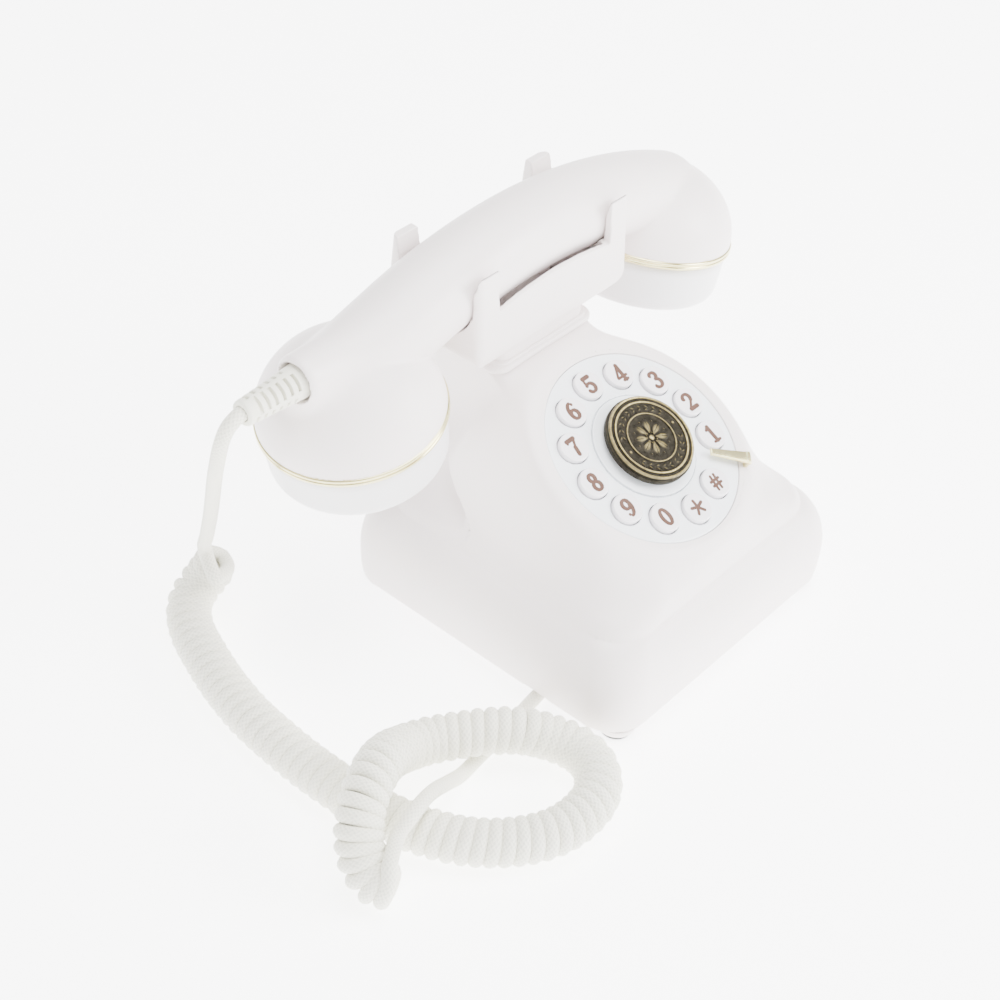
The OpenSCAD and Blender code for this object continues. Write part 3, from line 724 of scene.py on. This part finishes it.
def neck_moulding_field(x, y, z):
    """A full bead, a fine groove and a thin bead above it."""
    y = y - CRADLE_Y
    low = slab_between(rounded_box(x, y, NECK_X + 3.5, NECK_Y + 2.3, 6), z,
                       NECK_Z, NECK_Z + 2.5, 1.2)
    high = slab_between(rounded_box(x, y, NECK_X + 1.6, NECK_Y + 0.9, 5), z,
                        NECK_Z + 1, NECK_Z + 3.4, 0.5)
    return cut(smooth_min(low, high, 0.3), np.abs(x) - NECK_HOLE_X, np.abs(y) - NECK_HOLE_Y)


WHITE = LOOKS["warm_white_plastic"]


def stand_for(obj, *nodes, slot=None):
    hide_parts(*nodes)
    slot or SLOT_OF[nodes[0]]
    return obj


def make_housing():
    """The housing, the bead round its neck, and the crisp lip round the dial plate."""
    housing = field_piece("housing", housing_field, (-64, -71, 5), (64, 60, 95),
                          1.05, WHITE, "base")
    stand_for(housing, "body_shell")
    bead = field_piece("neck_bead", neck_moulding_field, (-27, 19, 88), (27, 61, 92.5), 0.5,
                       WHITE, "base")
    stand_for(bead, "neck_moulding")
    lip = [(PLATE_R + 0.12, PLATE_FLOOR)] + arc(PLATE_R + 0.42, -1.82, 0.3, 180, 90, 5) + [
        (PLATE_R + 2.3, -1.52), (PLATE_R + 2.7, -1.66), (PLATE_R + 2.7, -2.6),
        (PLATE_R + 1.4, PLATE_FLOOR)]
    points, faces = revolve(lip + lip[:1], 192)
    mesh_piece("bezel_lip", points, [f[::-1] for f in faces], WHITE, "base",
                       matrix=TO_DIAL, sharp=40)


make_housing()

# --- Cradle ---


def handle_oval(x, y, z, grow=0.0):
    """Distance to the handle's arched oval bar, and the distance along it."""
    dz = z - (HANDLE_Z - HANDLE_ARC)
    along = HANDLE_ARC * np.arctan2(x, dz)
    a, b = np.hypot(x, dz) - HANDLE_ARC, y - HANDSET_Y
    wide, high = HANDLE_WIDE + grow, HANDLE_HIGH + grow
    one = np.hypot(a / high, b / wide)
    two = np.hypot(a / high ** 2, b / wide ** 2)
    return one * (one - 1) / np.maximum(two, 1e-4), along, a, b


def cradle_field(x, y, z):
    """The neck block, its rounded flare and the four horns, with the handle's saddle in its side
    walls and a hollow between them behind the thin sill."""
    side = np.abs(x)
    neck = slab_between(rounded_box(x, y - CRADLE_Y, NECK_X - 0.2, NECK_Y, 4.5), z,
                        NECK_Z + 3, 100, 0.3)
    arms = rounded_box(side, z - 117.5, PRONG_OUTER, 20.6, 7.5)
    front = 21.6 - 0.075 * np.maximum(z - 104, 0) - 3.2 * np.clip((104 - z) / 7, 0, 1.4) ** 2
    arms = smooth_max(arms, rounded_box(x, y - CRADLE_Y, PRONG_OUTER, front, 3.5), 0.8)
    d = smooth_min(neck, arms, 2.5)
    d = np.maximum(d, z - PRONG_TOP)
    groove = handle_oval(x, y, z, SADDLE_GAP)[0]
    wide = HANDLE_WIDE + SADDLE_GAP + 0.22 * np.clip(z - 127.4, 0, 9)
    mouth = np.maximum(np.abs(y - HANDSET_Y) - wide, HANDLE_Z - 7.5 - z)
    d = smooth_max(d, -groove, 0.3)
    d = smooth_max(d, -mouth, 0.3)
    sill = SILL_Z - 0.0036 * x ** 2
    d = smooth_max(d, -smooth_max(side - PRONG_INNER, sill - z, 1.2), 0.35)
    hollow = np.maximum(rounded_box(x, y - CRADLE_Y, PRONG_INNER - 1, front - 1.8, 2), 104 - z)
    d = smooth_max(d, -hollow, 0.3)
    for s in (-1, 1):
        d = np.maximum(d, -(np.hypot(x - s * PLUNGER_X, y - CRADLE_Y) - 3.7))
    return cut(d, rounded_box(x, y - CRADLE_Y, 21, 13, 2), z - 97)


stand_for(field_piece("cradle_block", cradle_field, (-43, 18, 91), (43, 62, 134.5),
                      0.6, WHITE, "base"), "cradle")

# --- Handset ---


def dome_field(x, y, z, side):
    u, v, w = cup_coordinates(x, y, z, side)
    r = np.hypot(u, v)
    high = np.maximum(w - RING_HALF, 0)
    one = np.hypot(r / CUP_R, high / DOME_HIGH)
    two = np.hypot(r / CUP_R ** 2, high / DOME_HIGH ** 2)
    return one * (one - 1) / np.maximum(two, 1e-4)


def handset_outside(x, y, z):
    """The arched handle runs over both domes, and ends in a snout for the cord's boot on the
    mouth's side."""
    bar, along, _, _ = handle_oval(x, y, z)
    bar = smooth_max(bar, np.abs(along) - 92, 6)
    domes = np.minimum(dome_field(x, y, z, -1), dome_field(x, y, z, 1))
    d = smooth_min(bar, domes, 1.0)
    t = np.clip((-70 - x) / 32, 0, 1)
    centre = 114.5 + 3.5 * t
    snout = np.hypot(y - HANDSET_Y, z - centre) - (11.6 - 3.0 * t)
    snout = smooth_max(snout, np.abs(x + 84) - 18.5, 3)
    return smooth_min(d, snout, 5)


def handset_field(x, y, z):
    """The handset's upper shell: cut level at the rings, with the grip's recess and boot's hole."""
    d = handset_outside(x, y, z)
    for s in (-1, 1):
        _, _, w = cup_coordinates(x, y, z, s)
        d = np.maximum(d, np.where(s * x > 30, 0.7 - w, -9.0))
    _, along, a, _ = handle_oval(x, y, z)
    d = cut(d, np.abs(along) - 47, a + 10.4)
    return cut(d, np.hypot(y - HANDSET_Y, z - BOOT_Z) - 6.7, x + 92)


def grip_field(x, y, z):
    """The cover under the grip, with the two screws' counterbores."""
    bar, along, a, _ = handle_oval(x, y, z)
    d = smooth_max(smooth_max(bar, a + 10.5, 0.4), np.abs(along) - 46.9, 0.4)
    for s in (-1, 1):
        d = smooth_max(d, -np.maximum(np.hypot(x - s * 41, y - HANDSET_Y) - 2.9, z - 109.2), 0.3)
    return d


stand_for(field_piece("handset_shell", handset_field, (-111, 6, 82), (111, 72, 142),
                      0.95, WHITE, "handset"), "handset_upper_shell")
stand_for(field_piece("grip_cover", grip_field, (-48, 26, 103), (48, 52, 116), 0.6, WHITE,
                      "handset"), "handset_lower_shell")


def ring_profile():
    """A gold band: two round beads with a groove between them."""
    return ([(CUP_R - 2.4, -1.3), (CUP_R - 0.3, -1.42)] + arc(CUP_R - 0.1, -0.72, 0.7, -85, 62, 8)
            + arc(CUP_R - 0.1, 0.72, 0.7, -62, 85, 8) + [(CUP_R - 0.3, 1.42), (CUP_R - 2.4, 1.3)])


def cap_field(u, v, w):
    """A cup's cover: a straight side with a fine groove, a rounded rim and a dished face with
    sound holes."""
    r = np.hypot(u, v)
    wall = r - CUP_R + 0.5 + 0.05 * np.maximum(-w, 0)
    d = slab_between(wall, w, -CAP_DEPTH, -RING_HALF + 0.1, 4.6)
    d = smooth_max(d, 0.7 - np.hypot(r - CUP_R - 0.1, w + 9.5), 0.6)
    dish = np.hypot(r, w + CAP_DEPTH + 118) - 120
    d = smooth_max(d, -dish, 0.8)
    for ring_r, holes in ((0, 1), (5, 6), (10, 12), (15, 18)):
        for k in range(holes):
            a = 2 * math.pi * k / holes
            hole = np.hypot(u - ring_r * math.cos(a), v - ring_r * math.sin(a)) - 0.95
            d = smooth_max(d, -np.maximum(hole, w + CAP_DEPTH - 4), 0.3)
    return np.maximum(d, w + RING_HALF)


def make_cups():
    """A gold ring and a cover for each cup."""
    cap_points, cap_quads, cap_normals = surface(
        cap_field, (-CUP_R, -CUP_R, -CAP_DEPTH), (CUP_R, CUP_R, 0), 0.55)
    points, faces = revolve(ring_profile() + [ring_profile()[0]], 160)
    for side, end in ((-1, "mouth"), (1, "ear")):
        ring = mesh_piece(end + "_gold_ring", points, faces, LOOKS["gold_trim"], "handset",
                          matrix=to_cup(side), sharp=50)
        stand_for(ring, end + "_ring")
        cover = mesh_piece(end + "_cover", cap_points, cap_quads, LOOKS["cap_plastic"], "handset",
                           normals=cap_normals, matrix=to_cup(side))
        stand_for(cover, end + "_cap")


make_cups()


def boot_field(x, y, z):
    """The tapered strain relief, with two rows of slots that alternate round it."""
    y, z = y - HANDSET_Y, z - BOOT_Z
    r = np.hypot(y, z)
    t = np.clip((x - BOOT_TIP_X) / 24, 0, 1)
    d = smooth_max(r - 4.3 - 1.5 * t, np.abs(x + 110) - 14, 1.0)
    across, up = (y - z) / math.sqrt(2), (y + z) / math.sqrt(2)
    for i in range(12):
        at = BOOT_TIP_X + 3.0 + 1.5 * i
        out, beside = (across, up) if i % 2 else (up, across)
        slots = np.maximum(np.abs(x - at) - 0.55, 3.1 - np.abs(out))
        d = smooth_max(d, -np.maximum(slots, np.abs(beside) - 2.9), 0.25)
    return np.maximum(d, -(r - LEAD_R - 0.1))


boot = field_piece("strain_relief", boot_field, (-125, 32, 111), (-95, 46, 125), 0.32,
                   LOOKS["ivory_rubber"], "handset")
stand_for(boot, "cord_boot")

# --- Dial ---


def plate_field(u, v, w):
    """The glossy plate: slightly domed, with a pocket for its middle disc and twelve holes."""
    r = np.hypot(u, v)
    top = PLATE_TOP + 0.25 - 0.7 * (r / PLATE_R) ** 4
    d = slab_between(r - PLATE_R, w - top + PLATE_TOP, PLATE_FLOOR + 0.1, PLATE_TOP, 0.5)
    d = cut(d, r - DISC_R - 0.35, PLATE_TOP - 0.7 - w)
    for i in range(12):
        a = key_angle(i)
        centre_u, centre_v = KEY_CIRCLE_R * math.cos(a), KEY_CIRCLE_R * math.sin(a)
        hole = np.hypot(u - centre_u, v - centre_v) - KEY_R - 0.3
        d = smooth_max(d, -hole, 0.25)
    return smooth_max(d, 4.4 - r, 0.3)


def disc_profile():
    """The plate's middle disc, which stands a little above it."""
    return ([(4.5, -2.0), (4.5, -0.75)] + arc(DISC_R - 0.25, -0.95, 0.25, 90, 0, 5)
            + [(DISC_R, -2.0), (4.5, -2.0)])


def key_field(u, v, w):
    """One key cap: a faintly dished top, a small edge and a flange under the plate."""
    r = np.hypot(u, v)
    top = -0.05 - 0.16 * np.exp(-(r / 3.4) ** 2)
    cap = slab_between(r - KEY_R, w - top, -5.5, 0.25, 0.42)
    flange = slab_between(r - KEY_R - 0.5, w, PLATE_FLOOR - 1.5, PLATE_FLOOR - 0.3, 0.2)
    return np.minimum(cap, flange)


def segment(x, y, a, b, half):
    """Distance to a straight stroke."""
    ax, ay = a
    bx, by = b[0] - ax, b[1] - ay
    t = np.clip(((x - ax) * bx + (y - ay) * by) / (bx * bx + by * by + 1e-12), 0, 1)
    return np.hypot(x - ax - t * bx, y - ay - t * by) - half


BOLD, FINE, BOWL_TOP = 0.125, 0.08, 0.075


def bowl(cx, cy, rx, ry, start, end, steps=14):
    """A curved stroke, bold on its upright sides and thinner at its top and foot, as segments."""
    angles = np.radians(np.linspace(start, end, steps + 1))
    p = [(cx + rx * math.cos(a), cy + ry * math.sin(a)) for a in angles]
    return [(a, b, BOWL_TOP + (BOLD - BOWL_TOP) * abs(math.cos((s + e) / 2)))
            for a, b, s, e in zip(p, p[1:], angles, angles[1:])]


# Strokes of each numeral on a body one unit high: (from, to, half width)
NUMERALS = {
    "1": [((0.04, 0.05), (0.04, 0.93), BOLD), ((-0.16, 0.80), (0.04, 0.95), FINE),
          ((-0.17, 0.05), (0.25, 0.05), FINE)],
    "2": bowl(-0.01, 0.70, 0.24, 0.25, 165, -35)
         + [((0.19, 0.55), (-0.24, 0.08), FINE), ((-0.22, 0.09), (0.27, 0.09), BOLD),
            ((-0.2, 0.72), (-0.2, 0.73), 0.1)],
    "3": bowl(-0.02, 0.74, 0.21, 0.2, 150, -80) + bowl(-0.02, 0.28, 0.25, 0.24, 85, -150)
         + [((-0.2, 0.79), (-0.2, 0.8), 0.09), ((-0.23, 0.2), (-0.23, 0.21), 0.095)],
    "4": [((0.1, 0.05), (0.1, 0.95), BOLD), ((0.08, 0.93), (-0.3, 0.3), FINE),
          ((-0.3, 0.28), (0.3, 0.28), FINE), ((-0.05, 0.05), (0.25, 0.05), FINE)],
    "5": [((-0.17, 0.92), (0.22, 0.92), BOLD), ((-0.17, 0.92), (-0.2, 0.53), FINE),
          ((-0.22, 0.2), (-0.22, 0.21), 0.095)] + bowl(-0.02, 0.32, 0.25, 0.26, 138, -150),
    "6": bowl(0.0, 0.3, 0.22, 0.25, 0, 360) + bowl(0.12, 0.42, 0.35, 0.53, 95, 185)
         + [((0.19, 0.83), (0.19, 0.84), 0.085)],
    "7": [((-0.24, 0.91), (0.25, 0.91), BOLD), ((0.25, 0.9), (0.02, 0.45), FINE),
          ((0.02, 0.45), (-0.06, 0.06), BOLD), ((-0.25, 0.93), (-0.25, 0.8), FINE)],
    "8": bowl(0.0, 0.74, 0.18, 0.21, 0, 360) + bowl(0.0, 0.27, 0.22, 0.24, 0, 360),
    "9": bowl(0.0, 0.7, 0.22, 0.25, 0, 360) + bowl(-0.12, 0.58, 0.35, 0.53, 275, 365)
         + [((-0.19, 0.16), (-0.19, 0.17), 0.085)],
    "0": bowl(0.0, 0.5, 0.23, 0.44, 0, 360, steps=24),
    "star": [((0.0, 0.5), (0.4 * math.cos(a), 0.5 + 0.4 * math.sin(a)), 0.09)
             for a in np.radians((90, 162, 234, 306, 18))],
    "hash": [((-0.05 + s, 0.1), (0.05 + s, 0.9), FINE) for s in (-0.13, 0.13)]
            + [((-0.3, h), (0.3, h), FINE) for h in (0.37, 0.63)],
}
DIGIT_HIGH = 6.6


def digit_field(name):
    """One numeral, printed on its key's dished top."""
    strokes = NUMERALS[name]

    def field(u, v, w):
        x, y = u / DIGIT_HIGH, v / DIGIT_HIGH + 0.5
        d = segment(x, y, *strokes[0])
        for stroke in strokes[1:]:
            d = np.minimum(d, segment(x, y, *stroke))
        r = np.hypot(u, v)
        top = 0.2 - 0.16 * np.exp(-(r / 3.4) ** 2)
        return smooth_max(d * DIGIT_HIGH, np.abs(w - top) - 0.09, 0.06)
    return field


def make_dial():
    """The plate with its middle disc, and twelve keys with their numerals."""
    glossy = LOOKS["dial_plastic"]
    points, quads, normals = surface(plate_field, (-PLATE_R, -PLATE_R, PLATE_FLOOR),
                                     (PLATE_R, PLATE_R, 0), 0.45)
    stand_for(mesh_piece("dial_face", points, quads, glossy, "base", normals=normals,
                         matrix=TO_DIAL), "dial_plate")
    points, faces = revolve(disc_profile(), 160)
    mesh_piece("dial_disc", points, [f[::-1] for f in faces], glossy, "base",
                       matrix=TO_DIAL, sharp=40)
    cap = surface(key_field, (-KEY_R - 1, -KEY_R - 1, -6.5), (KEY_R + 1, KEY_R + 1, 0.5),
                  0.36)
    for i, name in enumerate(KEY_NAMES):
        body, place = "key_" + name, to_key(i)
        stand_for(mesh_piece("cap_" + name, cap[0], cap[1], LOOKS["key_plastic"], body,
                             normals=cap[2], matrix=place), body)
        ink = surface(digit_field(name), (-3.1, -3.9, -0.3), (3.1, 3.9, 0.5), 0.13, rounds=1)
        mesh_piece("numeral_" + name, ink[0], ink[1], INK, body, normals=ink[2], matrix=place)


OUTER_RING_R, INNER_RING_R, LAUREL_R, LEAVES, PETALS = 14.3, 9.7, 12.0, 26, 8
DRAWN_R, MEDALLION_LIFT = 16.8, 1.7


def medallion_height(r, a):
    """Height above the dial's level, and how much each point stands out of the field."""
    def bump(distance, width):
        return np.clip(1 - (distance / width) ** 2, 0, 1) ** 0.8

    field = 2.55 + 0.15 * (r / 14) ** 2
    relief = 0.9 * bump(r - OUTER_RING_R, 0.62) + 0.75 * bump(r - INNER_RING_R, 0.5)
    for tilt, shift in ((0.55, 0.62), (-0.55, -0.62)):
        step = 2 * math.pi / LEAVES
        k = np.round(a / step)
        across, out = (a - k * step) * LAUREL_R, r - LAUREL_R - shift
        along = across * math.cos(tilt) + out * math.sin(tilt)
        thick = -across * math.sin(tilt) + out * math.cos(tilt)
        gap = np.minimum(np.abs(a), np.abs(np.abs(a) - math.pi)) > 0.32
        leaf = np.clip(1 - (along / 1.35) ** 2 - (thick / 0.52) ** 2, 0, 1) ** 0.6
        relief = np.maximum(relief, 0.6 * leaf * gap)
    for centre in (0, math.pi):
        turn = np.abs((a - centre + math.pi) % (2 * math.pi) - math.pi)
        relief = np.maximum(relief, 0.8 * bump(np.hypot(turn * LAUREL_R, r - LAUREL_R), 0.85))
    turn = np.abs((a * PETALS / (2 * math.pi)) % 1 - 0.5) * 2
    width = 0.92 * np.sin(np.pi * np.clip((r - 1.2) / 6.2, 0, 1)) ** 0.7
    petal = np.clip(1 - (turn / np.maximum(width, 1e-3)) ** 2, 0, 1) ** 0.5 * (width > 0.02)
    vein = 0.25 * np.clip(1 - turn / 0.12, 0, 1)
    arch = 0.55 + 0.45 * np.sin(np.pi * np.clip(r / 7.4, 0, 1))
    relief = np.maximum(relief, petal * (0.75 - vein) * arch)
    between = np.abs(((a * PETALS / (2 * math.pi)) + 0.5) % 1 - 0.5) * 2 * math.pi / PETALS * 6.9
    relief = np.maximum(relief, 0.6 * bump(np.hypot(between, r - 6.9), 0.55))
    relief = np.maximum(relief, 0.95 * bump(r, 1.45))
    grains = np.abs((a * 12 / (2 * math.pi)) % 1 - 0.5) * 2 * math.pi / 12 * 2.1
    relief = np.maximum(relief, 0.7 * bump(np.hypot(grains, r - 2.1), 0.38))
    return field, relief


def make_medallion():
    """A struck bronze button: two raised rings, a laurel band and a rosette, on a stepped
    flange. It is drawn with the radius DRAWN_R, and then brought to size."""
    shrink, lift = MEDALLION_R / DRAWN_R, MEDALLION_LIFT
    around, rows = ((480, 190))
    radii = np.linspace(0.02, 15.6, rows)
    a = 2 * math.pi * np.arange(around) / around - math.pi
    rr, aa = np.meshgrid(radii, a, indexing="ij")
    field, relief = medallion_height(rr, aa)
    rings = [(rr * np.cos(aa), rr * np.sin(aa), field + 0.62 * relief, relief)]
    edge = ([(15.75, 2.75, 0.5), (15.95, 3.1, 0.8), (16.25, 3.2, 0.95)]
            + [(r, z, 0.7) for r, z in arc(16.3, 2.7, 0.5, 85, 0, 5)]
            + [(DRAWN_R, 1.6, 0.1), (17.25, 1.5, 0.25), (17.4, 1.25, 0.3), (17.35, -0.25, 0.1),
               (17.1, -0.3, 0.1), (3.4, -0.35, 0.0), (3.4, PIVOT_W - 2 - lift, 0.0)])
    for r, z, out in edge:
        ones = np.ones_like(a)[None]
        rings.append((r * np.cos(a)[None], r * np.sin(a)[None], z * ones, out * ones))
    columns = [np.vstack([ring[c] for ring in rings]) for c in range(4)]
    count = columns[0].shape[0]
    points = np.stack([c.reshape(-1) for c in columns[:3]], 1) * (shrink, shrink, 1) + (0, 0, lift)
    i, k = np.meshgrid(np.arange(count - 1), np.arange(around), indexing="ij")
    here, after = i * around + k, i * around + (k + 1) % around
    quads = np.stack([here, here + around, after + around, after], -1).reshape(-1, 4).tolist()
    ends = [list(range(around)), list(range((count - 1) * around, count * around))[::-1]]
    obj = mesh_piece("bronze_button", points, quads + ends, LOOKS["antique_bronze"], "medallion",
                     matrix=TO_DIAL, sharp=50)
    layer = obj.data.attributes.new("relief", "FLOAT", "POINT")
    layer.data.foreach_set("value", columns[3].reshape(-1).astype(np.float32))
    stand_for(obj, "medallion")


def stop_field(x, y, z):
    """The finger stop: a tapered flat bar that turns down over the plate's edge."""
    half = 1.25 + 1.05 * np.clip((x - 24) / 15.6, 0, 1) ** 1.2
    outline = np.maximum(np.abs(y) - half, np.abs(x - 31.8) - 7.8)
    bar = slab_between(outline, z + 0.04 * y ** 2, 0.85, 2.0, 0.3)
    leg = slab_between(rounded_box(x - STOP_LEG_R - 0.5, y, 0.7, 2.2, 0.3), z, -8.5, 1.9, 0.3)
    return smooth_min(bar, leg, 0.5)


make_dial()
make_medallion()
stand_for(field_piece("gold_finger_stop", stop_field, (23.5, -3, -9), (40.5, 3, 2.5), 0.25,
                      LOOKS["gold_trim"], "base",
                      matrix=TO_DIAL @ Matrix.Rotation(STOP_ANGLE, 4, "Z")), "finger_stop")

# --- Feet ---


def make_feet():
    """Four stubs and four rubber pads, one mesh of each."""
    stub = ([(1.4, 8.3), (1.4, UNDERSIDE_Z)] + arc(6.9, 4.9, 0.5, 90, 10, 4)
            + arc(6.2, 2.7, 0.5, -10, -90, 4) + [(5.25, 2.2), (5.25, 3.2), (0, 3.2)])
    pad = ([(0, 3.1), (5.1, 3.1), (5.1, 2.15)] + arc(5.3, 1.8, 0.35, 90, 0, 4)
           + arc(5.0, 0.35, 0.35, -15, -90, 4) + [(4.6, 0.0), (4.4, 0.25), (0, 0.25)])
    for name, profile, look in (("foot_stub", stub, WHITE), ("foot_pad", pad, LOOKS["black_rubber"])):
        points, faces, offset = [], [], 0
        one, loops = revolve(profile, 48)
        for sx, sy in itertools.product((-1, 1), (-1, 1)):
            points += [(x + sx * FOOT_X, y + BASE_Y + sy * FOOT_Y, z) for x, y, z in one]
            faces += [[v + offset for v in reversed(loop)] for loop in loops]
            offset += len(one)
        stand_for(mesh_piece(name + "_set", points, faces, look, "base", sharp=45), name + "s")


make_feet()

# --- Cord's length ---

round(length_of(cord_line) * MM, 2)
print("cord length", round(length_of(cord_line)), "mm")

# --- Stage and light ---


FLOOR_HALF = 6000
SKY_STRENGTH, FLOOR_GLOW = 1.6, 4.6


def make_stage():
    """A bright studio: a glowing floor under an even sky."""
    h = FLOOR_HALF
    floor = mesh_piece("floor", [(-h, -h, 0), (h, -h, 0), (h, h, 0), (-h, h, 0)], [[0, 1, 2, 3]],
                       stage_paint(), None)
    world = bpy.data.worlds.new("Studio")
    world.use_nodes = True
    world.node_tree.nodes["Background"].inputs["Color"].default_value = (1.0, 1.0, 1.0, 1)
    world.node_tree.nodes["Background"].inputs["Strength"].default_value = SKY_STRENGTH
    bpy.context.scene.world = world


def stage_paint():
    n = Nodes("studio_floor")
    soft = n.noise(3, 2)
    n.shader.inputs["Emission Color"].default_value = (1, 1, 1, 1)
    n.shader.inputs["Emission Strength"].default_value = FLOOR_GLOW
    return n.set(color=n.mix(soft, (0.9, 0.9, 0.9), (0.93, 0.93, 0.93)),
                 rough=n.ramp(soft, 0, 1, 0.85, 0.95), normal=n.bump(soft, 0.0002, 0.05))


def area_light(name, place, power, size):
    """A square softbox that looks at the telephone."""
    data = bpy.data.lights.new(name, "AREA")
    data.energy, data.size = power, size
    light = bpy.data.objects.new(name, data)
    light.location = place
    light.rotation_mode = "QUATERNION"
    light.rotation_quaternion = (CAMERA_TARGET - Vector(place)).to_track_quat("-Z", "Y")
    bpy.context.scene.collection.objects.link(light)


make_stage()
area_light("top_box", (0.1, -0.1, 1.5), 45, 1.0)
area_light("right_box", (0.8, -1.1, 0.8), 42, 0.7)
area_light("left_box", (-0.6, -1.2, 0.5), 8, 0.8)
